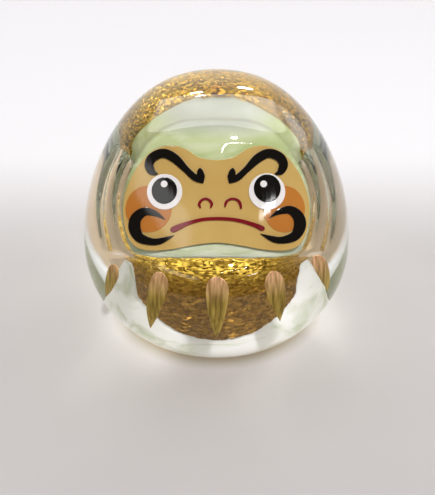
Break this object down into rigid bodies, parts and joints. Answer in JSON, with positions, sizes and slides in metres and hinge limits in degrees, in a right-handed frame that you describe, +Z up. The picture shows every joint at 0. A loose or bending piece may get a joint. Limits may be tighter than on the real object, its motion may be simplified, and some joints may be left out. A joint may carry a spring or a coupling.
{
  "type": "daruma doll",
  "caption": "Egg-shaped clear glass daruma ornament with a flat base, a leaf-wrapped milk glass core, an enamel face on a leaning facet and gold brush strokes on its belly.",
  "frame": {"origin": "centre of the flat base, on the surface the doll stands on", "axes": "+Z up; the face looks along -Y; +X is to a viewer's right"},
  "size_m": [0.0632, 0.0635, 0.0595],
  "materials": {
    "clear_glass": "fire-polished clear glass",
    "milk_glass": "pale green-white opal glass with soft streaks",
    "gold_leaf": "crackled gold leaf flakes",
    "gold_paint": "brushed metallic gold paint",
    "enamel_skin": "glossy tan enamel",
    "enamel_blush": "glossy orange-brown enamel",
    "enamel_white": "glossy white enamel",
    "enamel_black": "glossy black enamel",
    "enamel_red": "glossy dark red enamel"
  },
  "bodies": {
    "root": {"clear_glass_casing": "clear_glass", "milk_glass_core": "milk_glass", "gold_leaf_crown": "gold_leaf", "gold_leaf_belly": "gold_leaf", "face_ground": "enamel_skin", "cheek_left": "enamel_blush", "cheek_right": "enamel_blush", "eye_white_left": "enamel_white", "eye_white_right": "enamel_white", "pupil_left": "enamel_black", "pupil_right": "enamel_black", "eye_glint_left": "enamel_white", "eye_glint_right": "enamel_white", "eyebrow_left": "enamel_black", "eyebrow_right": "enamel_black", "moustache_left": "enamel_black", "moustache_right": "enamel_black", "nostril_left": "enamel_red", "nostril_right": "enamel_red", "mouth": "enamel_red", "belly_stroke_far_left": "gold_paint", "belly_stroke_left": "gold_paint", "belly_stroke_centre": "gold_paint", "belly_stroke_right": "gold_paint", "belly_stroke_far_right": "gold_paint"}
  },
  "joints": []
}
